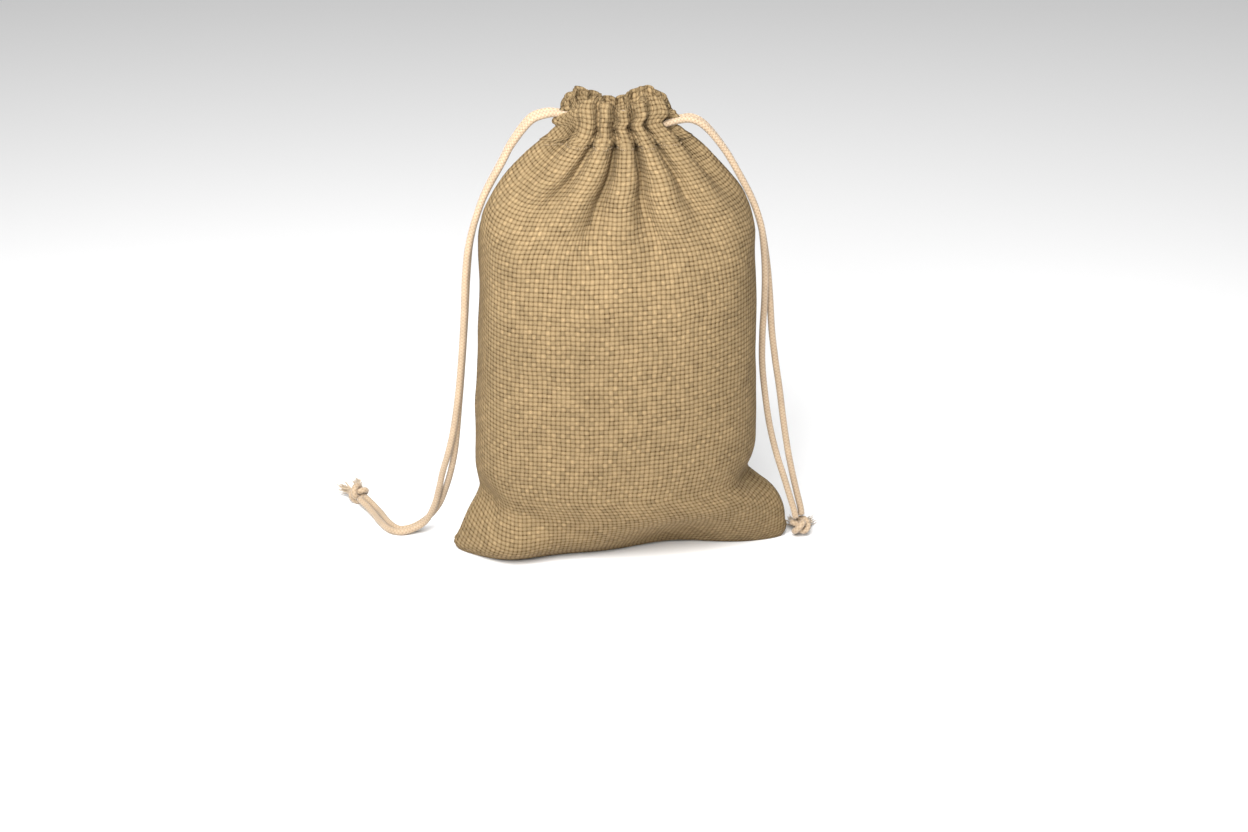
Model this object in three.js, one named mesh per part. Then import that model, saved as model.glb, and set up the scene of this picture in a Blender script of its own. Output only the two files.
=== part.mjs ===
// A drawstring gift pouch of open burlap weave, filled, drawn shut and standing on its bottom fold.
// One strip of cloth is folded at the bottom and sewn up both sides. Its top edge is turned in and
// stitched down as a hem, and two braided cords run through the hem. Each cord leaves the hem on
// its own side as two strands, which end together in an overhand knot with frayed tips.
// Millimetres, +X to the right, -Y to the front, +Z up. The origin is at the middle of the base.
import * as THREE from 'three';

// Cloth
const CLOTH = 1.2;
const POUCH_HEIGHT = 152.5;
const HEM_HEIGHT = 10.5;
const SEAM_ALLOWANCE = 7;
const SEAM_THICKNESS = 1.3;

// Drawstrings
const CORD = 2.35;
const CORD_SIDES = 8;
const CORD_STEP = 5.5;
const KNOT_RADIUS = 1.95;
const KNOT_STRAND = 0.92;
const KNOT_STRETCH = 1.7;
const KNOT_STEPS = 48;
const TIP_LENGTH = 4.6;
const TIP_START_RADIUS = 0.9;
const TIP_END_RADIUS = 1.5;

// Clearance between pieces that lie against each other
const GAP = 0.3;

// The hem, drawn together into an almond shape seen from above
const MOUTH_HALF_WIDTH = 21;
const MOUTH_SWELL = 6;
const TUNNEL_DEPTH = 3.2;
const TUNNEL_HEIGHT = 6.4;
const HEM_WALL = 0.9;
const HEM_DEPTH = TUNNEL_DEPTH + 2 * HEM_WALL;
const HEM_FOOT = POUCH_HEIGHT + GAP;

// The stitching along the foot of the hem
const STITCH_THREAD = 0.7;
const STITCH_DROP = 2.2;
const STITCH_REACH = 0.42;
const STITCH_SPREAD = 1.03;

// The left cord runs above the right one inside the hem
const CORD_LEVEL = 157.3;
const LEFT_CORD_HEIGHT = CORD_LEVEL + 1.5;
const RIGHT_CORD_HEIGHT = CORD_LEVEL - 1.5;
const LEFT_PIVOT = -27;
const RIGHT_PIVOT = 26;
const PIVOT_GAP = 1.3;

// The outline of the filled pouch: height, half width, half depth and how square its section is,
// from 1.5, a pointed lens, through 2, an ellipse, to 2.4, a rounded box.
const OUTLINE = [
  [0, 60.2, 10, 1.5],
  [12, 56.2, 20.5, 1.65],
  [22, 50.8, 25, 1.9],
  [34, 48.8, 28, 2.15],
  [60, 47.8, 31, 2.35],
  [98, 46.6, 31, 2.4],
  [120, 44.6, 28.5, 2.3],
  [133, 39, 23, 2.15],
  [143, 31, 17, 2],
  [152.5, 22.4, 10, 1.7],
];

// Routes of the free strands, from just outside the hem to the knot
const LEFT_FRONT_ROUTE = [
  [-28.3, -2.65, 158.8],
  [-31.6, -2.3, 156.2],
  [-36, -1.6, 148.6],
  [-39.6, -1.3, 142],
  [-46.3, -1.3, 129.6],
  [-50.8, -1.3, 116],
  [-52.7, -1.3, 104],
  [-53.8, -1.3, 87],
  [-55.3, -1.3, 70],
  [-57, -1.1, 56],
  [-59, -0.3, 44],
  [-61, 1.4, 35.5],
  [-62.9, 4.2, 28],
  [-64.4, 6.9, 20.5],
  [-66.4, 9, 12.6],
  [-69.9, 11.3, 5.4],
  [-74.8, 11.8, 2.2],
  [-79.2, 11.8, 1.3],
  [-83.1, 14.4, 1.3],
  [-86.3, 20.8, 1.3],
  [-88.8, 27.6, 1.4],
  [-91.5, 32.8, 2.2],
  [-94.3, 36.8, 3.5],
];
const LEFT_BACK_ROUTE = [
  [-28.3, 2.65, 158.8],
  [-31.6, 2.3, 156.2],
  [-36, 1.6, 148.6],
  [-39.6, 1.3, 142],
  [-46.1, 1.3, 129.6],
  [-50.4, 1.3, 116],
  [-52, 1.3, 104],
  [-53.3, 1.3, 87],
  [-54.8, 1.3, 70],
  [-56.2, 1.5, 56],
  [-57.4, 2.3, 44],
  [-58.5, 3.4, 35.5],
  [-60.2, 5.5, 27],
  [-62.1, 8.5, 19.6],
  [-64.6, 11.1, 12.4],
  [-68.8, 13.7, 6],
  [-73.8, 14.3, 2.4],
  [-78.3, 14.4, 1.3],
  [-81, 16.2, 1.3],
  [-83.9, 21.8, 1.3],
  [-86.4, 28.6, 1.4],
  [-89.2, 34, 2.2],
  [-92.2, 38, 3.5],
];
const RIGHT_FRONT_ROUTE = [
  [27.3, -2.65, 155.8],
  [30.2, -2.2, 151.6],
  [34.8, -1.5, 144.8],
  [39.8, -1.3, 136.4],
  [44.6, -1.3, 127],
  [47.7, -1.3, 118],
  [49, -1.3, 109],
  [49.6, -1.3, 100],
  [49.6, -1.4, 90],
  [49.2, -1.5, 79],
  [49.4, -1.5, 68],
  [50.6, -1.5, 57],
  [52.6, -1.5, 44.5],
  [55.3, -1.6, 33.5],
  [58.3, -1.9, 24],
  [60.6, -2.2, 16.5],
  [62.3, -2.3, 11],
  [63, -2.4, 8.1],
];
const RIGHT_BACK_ROUTE = [
  [27.3, 2.65, 155.8],
  [30.2, 2.2, 151.6],
  [34.8, 1.5, 144.8],
  [39.8, 1.3, 136.4],
  [44.7, 1.3, 127],
  [47.9, 1.3, 118],
  [49.7, 1.3, 109],
  [51, 1.3, 100],
  [52, 1.3, 90],
  [52.9, 1.3, 79],
  [54.4, 1.3, 68],
  [56.2, 1.3, 57],
  [58, 1.2, 44.5],
  [59.8, 0.9, 33.5],
  [61.8, 0.6, 24],
  [63.6, 0.3, 16.5],
  [65, 0.1, 11],
  [65.4, 0, 8.1],
];
const LEFT_KNOT = [-94.8, 40.6, 3.95];
const RIGHT_KNOT = [64.9, -1.2, 4];

const cloth = (colour) => new THREE.MeshStandardMaterial({ color: colour, roughness: 0.95, metalness: 0 });
const FRONT_CLOTH = cloth(0xb79f74);
const BACK_CLOTH = cloth(0xa8916a);
const SEAM_CLOTH = cloth(0x8f7a55);
const HEM_CLOTH = cloth(0xc0a97e);
const THREAD = cloth(0xd8c8a2);
const BRAID = cloth(0xdcc4a0);
const KNOT_BRAID = cloth(0xd2b48c);
const FRAYED_BRAID = cloth(0xe6d8bc);

// One column of the outline at a height: a smooth curve through the listed stations.
function outlineAt(height, column) {
  const last = OUTLINE.length - 1;
  let lower = 0;
  while (lower < last - 1 && height > OUTLINE[lower + 1][0]) lower += 1;
  const slope = (index) => {
    const before = OUTLINE[Math.max(index - 1, 0)];
    const after = OUTLINE[Math.min(index + 1, last)];
    return (after[column] - before[column]) / (after[0] - before[0]);
  };
  const from = OUTLINE[lower];
  const to = OUTLINE[lower + 1];
  const span = to[0] - from[0];
  const t = (height - from[0]) / span;
  const rise = t * t * (3 - 2 * t);
  const leaving = t * (1 - t) * (1 - t) * span * slope(lower);
  const arriving = t * t * (1 - t) * span * slope(lower + 1);
  return from[column] + (to[column] - from[column]) * rise + leaving - arriving;
}

// A point of the front wall: across runs from -0.5 at the left seam to 0.5 at the right one.
function wallPoint(across, height, inset) {
  const power = 2 / outlineAt(height, 3);
  const angle = across * Math.PI;
  const side = Math.abs(Math.sin(angle)) ** power * Math.sign(angle);
  const front = Math.max(Math.cos(angle), 0) ** power;
  const x = (outlineAt(height, 1) - inset) * side;
  const y = -(SEAM_THICKNESS / 2 + GAP + (outlineAt(height, 2) - inset) * front);
  return [x, y];
}

function bend(geometry, place) {
  const position = geometry.attributes.position;
  for (let index = 0; index < position.count; index += 1) {
    const point = place(position.getX(index), position.getY(index), position.getZ(index));
    position.setXYZ(index, ...point);
  }
  geometry.computeVertexNormals();
  return geometry;
}

// Half of the folded strip above the bottom fold: a flat sheet bent around the filling, with its
// rows closer together towards the bottom.
function panelGeometry() {
  const columns = 24;
  const rows = 20;
  const crowding = 1.25;
  const sheet = new THREE.BoxGeometry(1, 1, 1, columns, 1, rows);
  return bend(sheet, (across, layer, along) => {
    const inset = layer > 0 ? CLOTH : 0;
    const height = POUCH_HEIGHT * (along + 0.5) ** crowding;
    const [x, y] = wallPoint(across, height, inset);
    return [x, y, height];
  });
}

// The bottom fold, pressed flat by the filling: a thin lens-shaped sheet between the two panels.
function bottomFoldGeometry() {
  const count = 24;
  const lens = new THREE.Shape();
  const front = [];
  for (let index = 0; index <= count; index += 1) {
    front.push(wallPoint(index / count - 0.5, 0, CLOTH + GAP));
  }
  const rear = front.map(([x, y]) => [-x, -y]);
  [...front, ...rear].forEach(([x, y], index) => {
    if (index === 0) lens.moveTo(x, y);
    else lens.lineTo(x, y);
  });
  lens.closePath();
  return new THREE.ExtrudeGeometry(lens, { depth: CLOTH, bevelEnabled: false });
}

// The turned-in edges of one side seam, a narrow band that follows the outline.
function seamGeometry() {
  const rows = 20;
  const lowest = CLOTH + GAP;
  const highest = POUCH_HEIGHT - GAP;
  const recess = 0.4;
  const band = new THREE.BoxGeometry(1, SEAM_THICKNESS, 1, 1, 1, rows);
  return bend(band, (across, y, along) => {
    const height = lowest + (highest - lowest) * (along + 0.5);
    const edge = outlineAt(height, 1) - recess;
    return [(across + 0.5) * SEAM_ALLOWANCE - edge, y, height];
  });
}

// How far the middle of the hem's tunnel stands in front of the mouth's centre line.
function tunnelOffset(x) {
  const swell = MOUTH_SWELL * 0.5 * (1 + Math.cos((Math.PI * x) / MOUTH_HALF_WIDTH));
  return GAP / 2 + HEM_DEPTH / 2 + swell;
}

class MouthCurve extends THREE.Curve {
  getPoint(t, target = new THREE.Vector3()) {
    const x = MOUTH_HALF_WIDTH * (2 * t - 1);
    return target.set(x, -tunnelOffset(x), CORD_LEVEL);
  }
}

// The front half of the hem, a flat sleeve that the cords run through. Its shape is drawn with
// height downwards along x and depth along y, as it is carried along the mouth.
function hemGeometry() {
  const top = CORD_LEVEL - HEM_FOOT - HEM_HEIGHT;
  const sleeve = rectangle(top, CORD_LEVEL - HEM_FOOT, HEM_DEPTH / 2, THREE.Shape);
  sleeve.holes.push(rectangle(-TUNNEL_HEIGHT / 2, TUNNEL_HEIGHT / 2, TUNNEL_DEPTH / 2, THREE.Path));
  const options = { steps: 20, bevelEnabled: false, extrudePath: new MouthCurve() };
  return new THREE.ExtrudeGeometry(sleeve, options);
}

function rectangle(left, right, halfDepth, Outline) {
  const outline = new Outline();
  outline.moveTo(left, -halfDepth);
  outline.lineTo(right, -halfDepth);
  outline.lineTo(right, halfDepth);
  outline.lineTo(left, halfDepth);
  outline.closePath();
  return outline;
}

function tubeGeometry(curve, diameter, step) {
  const section = new THREE.Shape();
  section.absarc(0, 0, diameter / 2, 0, 2 * Math.PI);
  const steps = Math.round(curve.getLength() / step);
  const options = { steps, curveSegments: CORD_SIDES / 2, bevelEnabled: false, extrudePath: curve };
  return new THREE.ExtrudeGeometry(section, options);
}

function curveThrough(points) {
  return new THREE.CatmullRomCurve3(points.map((point) => new THREE.Vector3(...point)));
}

// The stitching that holds the hem down, a line of thread along the foot of one half of it.
function hemStitchGeometry() {
  const count = 12;
  const step = 3;
  const height = POUCH_HEIGHT - STITCH_DROP;
  const points = [];
  for (let index = 0; index <= count; index += 1) {
    const across = STITCH_REACH * ((2 * index) / count - 1);
    const [x, y] = wallPoint(across, height, 0);
    points.push([x * STITCH_SPREAD, y - STITCH_THREAD - GAP, height]);
  }
  return tubeGeometry(curveThrough(points), STITCH_THREAD, step);
}

// A cord inside the hem: in along the front sleeve, round the far end and back along the rear one.
// turn is 1 for the cord that turns round on the right, -1 for the one that turns on the left.
function loopGeometry(height, turn) {
  const count = 14;
  const step = 2.6;
  const points = [];
  for (let index = 0; index <= count; index += 1) {
    const x = MOUTH_HALF_WIDTH * ((2 * index) / count - 1);
    points.push([turn * x, -tunnelOffset(x), height]);
  }
  const back = points.map(([x, y, z]) => [x, -y, z]).reverse();
  const radius = tunnelOffset(MOUTH_HALF_WIDTH);
  const bendPoints = [-0.25, 0, 0.25].map((share) => {
    const angle = share * Math.PI;
    const x = turn * (MOUTH_HALF_WIDTH + radius * Math.cos(angle));
    return [x, radius * Math.sin(angle), height];
  });
  return tubeGeometry(curveThrough([...points, ...bendPoints, ...back]), CORD, step);
}

// The short straight stretch of a strand between the hem and the place where it starts to hang.
function leadMesh(name, side, pivot, height, y) {
  const start = side * (MOUTH_HALF_WIDTH + GAP);
  const end = pivot - side * PIVOT_GAP;
  const geometry = new THREE.CylinderGeometry(CORD / 2, CORD / 2, Math.abs(end - start), CORD_SIDES);
  const mesh = named(name, geometry, BRAID);
  mesh.rotation.z = Math.PI / 2;
  mesh.position.set((start + end) / 2, y, height);
  return mesh;
}

// An overhand knot is a trefoil: the torus knot that goes twice round while it winds three times.
function knotMesh(name, centre, direction) {
  const geometry = new THREE.TorusKnotGeometry(KNOT_RADIUS, KNOT_STRAND, KNOT_STEPS, CORD_SIDES, 2, 3);
  const mesh = named(name, geometry, KNOT_BRAID);
  mesh.position.set(...centre);
  mesh.scale.z = KNOT_STRETCH;
  aim(mesh, new THREE.Vector3(0, 0, 1), direction);
  return mesh;
}

// A frayed tip: a short tuft that widens away from the knot.
function tipMesh(name, start, direction) {
  const geometry = new THREE.CylinderGeometry(TIP_END_RADIUS, TIP_START_RADIUS, TIP_LENGTH, CORD_SIDES);
  const mesh = named(name, geometry, FRAYED_BRAID);
  const along = new THREE.Vector3(...direction).normalize();
  mesh.position.set(...start).addScaledVector(along, TIP_LENGTH / 2);
  aim(mesh, new THREE.Vector3(0, 1, 0), direction);
  return mesh;
}

function aim(mesh, from, direction) {
  mesh.quaternion.setFromUnitVectors(from, new THREE.Vector3(...direction).normalize());
}

function named(name, geometry, material) {
  const mesh = new THREE.Mesh(geometry, material);
  mesh.name = name;
  return mesh;
}

function clothPieces() {
  const group = new THREE.Group();
  group.add(named('front_panel', panelGeometry(), FRONT_CLOTH));
  group.add(named('left_side_seam', seamGeometry(), SEAM_CLOTH));
  group.add(named('front_hem', hemGeometry(), HEM_CLOTH));
  group.add(named('front_hem_stitching', hemStitchGeometry(), THREAD));
  return group;
}

// The rear half is the front half turned round the pouch's upright axis.
function rearClothPieces() {
  const group = new THREE.Group();
  group.add(named('back_panel', panelGeometry(), BACK_CLOTH));
  group.add(named('right_side_seam', seamGeometry(), SEAM_CLOTH));
  group.add(named('back_hem', hemGeometry(), HEM_CLOTH));
  group.add(named('back_hem_stitching', hemStitchGeometry(), THREAD));
  group.rotation.z = Math.PI;
  return group;
}

function drawstring(prefix, side, pivot, height, frontRoute, backRoute) {
  const group = new THREE.Group();
  const exit = tunnelOffset(MOUTH_HALF_WIDTH);
  group.add(named(`${prefix}_drawstring_loop`, loopGeometry(height, -side), BRAID));
  group.add(leadMesh(`${prefix}_front_lead`, side, pivot, height, -exit));
  group.add(leadMesh(`${prefix}_back_lead`, side, pivot, height, exit));
  const front = tubeGeometry(curveThrough(frontRoute), CORD, CORD_STEP);
  const back = tubeGeometry(curveThrough(backRoute), CORD, CORD_STEP);
  group.add(named(`${prefix}_front_strand`, front, BRAID));
  group.add(named(`${prefix}_back_strand`, back, BRAID));
  return group;
}

const pouch = new THREE.Group();
pouch.add(named('bottom_fold', bottomFoldGeometry(), SEAM_CLOTH));
pouch.add(clothPieces());
pouch.add(rearClothPieces());
pouch.add(drawstring('left', -1, LEFT_PIVOT, LEFT_CORD_HEIGHT, LEFT_FRONT_ROUTE, LEFT_BACK_ROUTE));
pouch.add(drawstring('right', 1, RIGHT_PIVOT, RIGHT_CORD_HEIGHT, RIGHT_FRONT_ROUTE, RIGHT_BACK_ROUTE));
pouch.add(knotMesh('left_knot', LEFT_KNOT, [-0.42, 0.9, 0.1]));
pouch.add(knotMesh('right_knot', RIGHT_KNOT, [0.2, 0.05, -1]));
pouch.add(tipMesh('left_front_tip', [-97.4, 43.5, 3.6], [-0.75, 0.7, -0.1]));
pouch.add(tipMesh('left_back_tip', [-95.3, 44.6, 3.6], [0.05, 1, 0.05]));
pouch.add(tipMesh('right_front_tip', [64.2, 3.3, 1.8], [-0.2, 1, 0]));
pouch.add(tipMesh('right_back_tip', [67.3, 2.9, 1.8], [0.5, 1, 0]));

export default pouch;
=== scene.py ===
"""Drawstring gift pouch: the looks of the woven pouch, its braided cords and its stage, built
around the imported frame."""

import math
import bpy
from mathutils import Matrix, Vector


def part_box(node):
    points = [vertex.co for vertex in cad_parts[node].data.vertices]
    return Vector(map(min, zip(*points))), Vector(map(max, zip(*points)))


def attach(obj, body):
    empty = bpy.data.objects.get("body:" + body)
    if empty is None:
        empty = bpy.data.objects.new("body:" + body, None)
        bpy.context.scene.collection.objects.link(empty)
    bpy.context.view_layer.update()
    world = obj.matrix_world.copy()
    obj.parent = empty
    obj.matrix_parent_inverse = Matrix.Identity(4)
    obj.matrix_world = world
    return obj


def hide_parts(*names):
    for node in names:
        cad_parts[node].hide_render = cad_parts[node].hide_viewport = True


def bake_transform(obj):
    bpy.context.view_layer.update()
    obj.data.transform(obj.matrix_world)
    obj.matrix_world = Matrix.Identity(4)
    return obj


bl_info = {
    "name": "Drawstring Gift Pouch",
    "version": (1, 0, 0),
    "blender": (4, 5, 0),
    "location": "3D View > Sidebar > Pouch",
    "description": "Builds a burlap drawstring pouch, its braided cords and a soft studio around it",
    "category": "Object",
}

import bpy
import numpy as np
from bpy.props import FloatProperty, FloatVectorProperty, IntProperty, PointerProperty
from mathutils import Vector

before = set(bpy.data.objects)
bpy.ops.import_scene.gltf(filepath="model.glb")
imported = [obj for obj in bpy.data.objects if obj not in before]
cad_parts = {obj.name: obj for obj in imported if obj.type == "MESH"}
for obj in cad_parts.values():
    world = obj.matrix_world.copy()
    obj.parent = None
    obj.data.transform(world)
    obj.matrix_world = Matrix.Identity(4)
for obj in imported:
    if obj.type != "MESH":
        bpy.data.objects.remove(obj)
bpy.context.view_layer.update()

MM = 0.001
TAU = 2 * math.pi


def corners(*nodes):
    """The lowest and highest corner of one box around the named CAD nodes."""
    boxes = [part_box(node) for node in nodes]
    low = np.min([np.array(lowest) for lowest, _ in boxes], axis=0)
    high = np.max([np.array(highest) for _, highest in boxes], axis=0)
    return low, high


# The hem is stitched down at its foot, and its top edge rolls in over the last of its height.
EDGE_ROLL = 1.3 * MM
HEM_FOOT = 151 * MM
HEM_TOP = corners("front_hem", "back_hem")[1][2] - EDGE_ROLL
BASE_HALF_WIDTH = corners("front_panel", "back_panel")[1][0]
CORD_LOW, CORD_HIGH = corners("left_drawstring_loop", "right_drawstring_loop")
CORD_LEVEL = (CORD_LOW[2] + CORD_HIGH[2]) / 2

# Rows of the cloth's mesh: across the base, up the body, up the hem, over its edge, down inside.
BASE_ROWS = 5
BODY_ROWS = 76
HEM_ROWS = 14
ROLL_ROWS = 6
INNER_ROWS = 8


# ---------------------------------------------------------------- sizes and colours


class PouchClothSettings(bpy.types.PropertyGroup):
    """Sizes and colours of the woven cloth."""

    flat_width: FloatProperty(
        name="Flat width", description="Width of the empty pouch laid flat",
        default=0.130, unit="LENGTH")
    flat_height: FloatProperty(
        name="Flat height", description="Height of the empty pouch laid flat, hem turned in",
        default=0.180, unit="LENGTH")
    hem: FloatProperty(
        name="Hem", description="Cloth turned in at the mouth for the drawstrings",
        default=0.014, unit="LENGTH")
    thickness: FloatProperty(
        name="Thickness", description="Thickness of the cloth", default=0.0010, unit="LENGTH")
    thread_pitch: FloatProperty(
        name="Thread pitch", description="Distance from one yarn to the next",
        default=0.0016, unit="LENGTH")
    columns: IntProperty(
        name="Columns", description="Mesh columns around the pouch", default=360, min=120)
    # Painted light and shade of the weave: the light colour is the yarn with a painted highlight
    # where it rises, the dark one is painted shade where it dips, and the gap colour is painted
    # shade between the yarns.
    yarn_highlight: FloatVectorProperty(
        name="Yarn, light", description="Colour of the yarn where it rises",
        default=(0.272, 0.195, 0.102), subtype="COLOR")
    yarn_dip_shade: FloatVectorProperty(
        name="Yarn, dark", description="Colour of the yarn where it dips",
        default=(0.090, 0.049, 0.017), subtype="COLOR")
    gap: FloatVectorProperty(
        name="Gap", description="Colour seen between the yarns",
        default=(0.045, 0.019, 0.004), subtype="COLOR")


class PouchCordSettings(bpy.types.PropertyGroup):
    """Sizes and colours of the drawstrings."""

    diameter: FloatProperty(
        name="Diameter", description="Diameter of the braided cord", default=0.00235, unit="LENGTH")
    braid_pitch: FloatProperty(
        name="Braid pitch", description="Length along the cord of one braid cell",
        default=0.00125, unit="LENGTH")
    # Painted light and shade of the braid: the light colour is the cord with a painted highlight on
    # the raised braid, the dark one is painted shade between the strands.
    light: FloatVectorProperty(
        name="Cord, light", description="Colour of the raised braid", default=(0.40, 0.30, 0.20),
        subtype="COLOR")
    dark: FloatVectorProperty(
        name="Cord, dark", description="Colour between the braid", default=(0.20, 0.12, 0.06),
        subtype="COLOR")
    frayed: FloatVectorProperty(
        name="Frayed ends", description="Colour of the loose yarn ends",
        default=(0.42, 0.325, 0.225), subtype="COLOR")


class PouchStageSettings(bpy.types.PropertyGroup):
    """Camera and floor."""

    elevation: FloatProperty(
        name="Elevation", description="How far the camera looks down",
        default=math.radians(23), subtype="ANGLE")
    azimuth: FloatProperty(
        name="Azimuth", description="How far the camera stands round to the left",
        default=math.radians(5), subtype="ANGLE")
    distance: FloatProperty(
        name="Distance", description="From the camera to its aim", default=0.737, unit="LENGTH")
    aim: FloatVectorProperty(
        name="Aim", description="Point in the middle of the view",
        default=(0.0012, 0.0, 0.0489), subtype="TRANSLATION")
    lens: FloatProperty(
        name="Lens", description="Focal length in millimetres", default=60.6)
    floor: FloatVectorProperty(
        name="Floor", description="Colour of the floor", default=(0.86, 0.86, 0.86), subtype="COLOR")


# ---------------------------------------------------------------- numbers and grids


def smooth(value, low, high):
    """0 below low, 1 above high, and the cubic 3t^2 - 2t^3 between them."""
    t = np.clip((value - low) / (high - low), 0, 1)
    return t * t * (3 - 2 * t)


def through(stations, at):
    """A smooth curve through (place, value, ...) stations: cubic Hermite spans whose slope at a
    station is that of the chord between its two neighbours. Returns one array per value."""
    table = np.array(stations, float)
    place = table[:, 0]
    count = len(place)
    before = np.maximum(np.arange(count) - 1, 0)
    after = np.minimum(np.arange(count) + 1, count - 1)
    slope = (table[after] - table[before]) / (place[after] - place[before])[:, None]
    span = np.clip(np.searchsorted(place, at, side="right") - 1, 0, count - 2)
    width = place[span + 1] - place[span]
    t = np.clip((at - place[span]) / width, 0, 1)[..., None]
    width = width[..., None]
    low, high = table[span], table[span + 1]
    value = (
        (1 + 2 * t) * (1 - t) ** 2 * low
        + t * (1 - t) ** 2 * width * slope[span]
        + t * t * (3 - 2 * t) * high
        + t * t * (t - 1) * width * slope[span + 1]
    )
    return [value[..., column] for column in range(1, table.shape[1])]


def waves(seed, u, v, scale, octaves=3):
    """Soft unevenness: a sum of plane sine waves in seeded directions, each octave twice as fine
    and half as strong, over places u and v that are scaled by scale."""
    rng = np.random.default_rng(seed)
    total = np.zeros(np.broadcast(u, v).shape)
    for octave in range(octaves):
        for _ in range(4):
            turn, phase = rng.uniform(0, TAU, 2)
            reach = TAU / scale * 2**octave * rng.uniform(0.7, 1.3)
            total += 0.5**octave * np.sin(
                reach * (np.cos(turn) * u + np.sin(turn) * v) + phase)
    return total / 4


def placed(name, data):
    """A new object for the data, put in the scene."""
    made = bpy.data.objects.new(name, data)
    bpy.context.scene.collection.objects.link(made)
    return made


def smooth_shaded(mesh):
    """Shades every face of the mesh smooth."""
    mesh.polygons.foreach_set("use_smooth", np.ones(len(mesh.polygons), bool))


def arc_length(line):
    """The length along a line from its start to each of its points."""
    return np.concatenate([[0], np.cumsum(np.linalg.norm(np.diff(line, axis=0), axis=1))])


def grid_object(name, points, uv, fold=False, caps=False):
    """A mesh from a grid of points, rows by columns, whose last column joins the first. fold
    joins each point of the first row to its mirror across the row, as a folded strip is, and
    leaves out the points that this frees. caps fills the first and last row. uv has one column
    more than the points."""
    rows, columns = points.shape[:2]
    number = np.arange(rows * columns).reshape(rows, columns)
    if fold:
        order = np.arange(columns)
        number[0] = np.minimum(order, (columns - order) % columns)
    number = np.hstack([number, number[:, :1]])
    used, number = np.unique(number, return_inverse=True)
    number = number.reshape(rows, columns + 1)
    quads = np.stack(
        [number[:-1, :-1], number[:-1, 1:], number[1:, 1:], number[1:, :-1]], axis=-1)
    faces = quads.reshape(-1, 4).tolist()
    if caps:
        faces.append(number[0, :-1][::-1].tolist())
        faces.append(number[-1, :-1].tolist())
    mesh = bpy.data.meshes.new(name)
    mesh.from_pydata(points.reshape(-1, 3)[used].tolist(), [], faces)
    layer = mesh.uv_layers.new(name="cloth")
    places = np.stack([uv[:-1, :-1], uv[:-1, 1:], uv[1:, 1:], uv[1:, :-1]], axis=-2)
    flat = places.reshape(-1, 2)
    if caps:
        ends = np.concatenate([uv[0, :-1][::-1], uv[-1, :-1]])
        flat = np.concatenate([flat, ends])
    layer.data.foreach_set("uv", flat.astype(np.float32).ravel())
    smooth_shaded(mesh)
    mesh.validate()
    return placed(name, mesh)


def spline(points, spacing):
    """Points every spacing along a Catmull-Rom curve through the given ones, found by sampling
    each cubic span finely and stepping evenly along the arc length."""
    given = np.array(points, float)
    first = 2 * given[0] - given[1]
    last = 2 * given[-1] - given[-2]
    p = np.vstack([first, given, last])
    t = np.linspace(0, 1, 24, endpoint=False)[:, None]
    spans = [
        0.5 * (2 * b + (c - a) * t + (2 * a - 5 * b + 4 * c - d) * t**2
               + (3 * b - a - 3 * c + d) * t**3)
        for a, b, c, d in zip(p[:-3], p[1:-2], p[2:-1], p[3:])
    ]
    fine = np.vstack(spans + [given[-1:]])
    return evenly(fine, spacing)


def evenly(line, spacing):
    """The same line with its points a constant arc length apart."""
    run = arc_length(line)
    count = max(int(round(run[-1] / spacing)), 3)
    at = np.linspace(0, run[-1], count + 1)
    return np.stack([np.interp(at, run, line[:, axis]) for axis in range(3)], axis=1)


def carried_frames(line):
    """Two directions square to a line at each of its points. They are carried along by taking
    out of the last pair what points along the new tangent, so they don't twist."""
    tangent = np.gradient(line, axis=0)
    tangent /= np.linalg.norm(tangent, axis=1)[:, None]
    side = np.zeros_like(line)
    start = np.cross(tangent[0], (0.0, 0.3, 1.0))
    for index, direction in enumerate(tangent):
        start = start - direction * (start @ direction)
        start = start / np.linalg.norm(start)
        side[index] = start
    return side, np.cross(tangent, side)


def tube(name, line, radius, sides=12):
    """A round section carried along a line: side cos a + up sin a, times the radius, at each of
    its points. The texture runs once round by the length in metres."""
    side, up = carried_frames(line)
    angle = np.linspace(0, TAU, sides, endpoint=False)
    ring = side[:, None] * np.cos(angle)[None, :, None] + up[:, None] * np.sin(angle)[None, :, None]
    points = line[:, None] + ring * radius
    around = np.linspace(0, 1, sides + 1)
    uv = np.stack(np.broadcast_arrays(around[None], arc_length(line)[:, None]), axis=-1)
    return grid_object(name, points, uv, caps=True)


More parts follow.
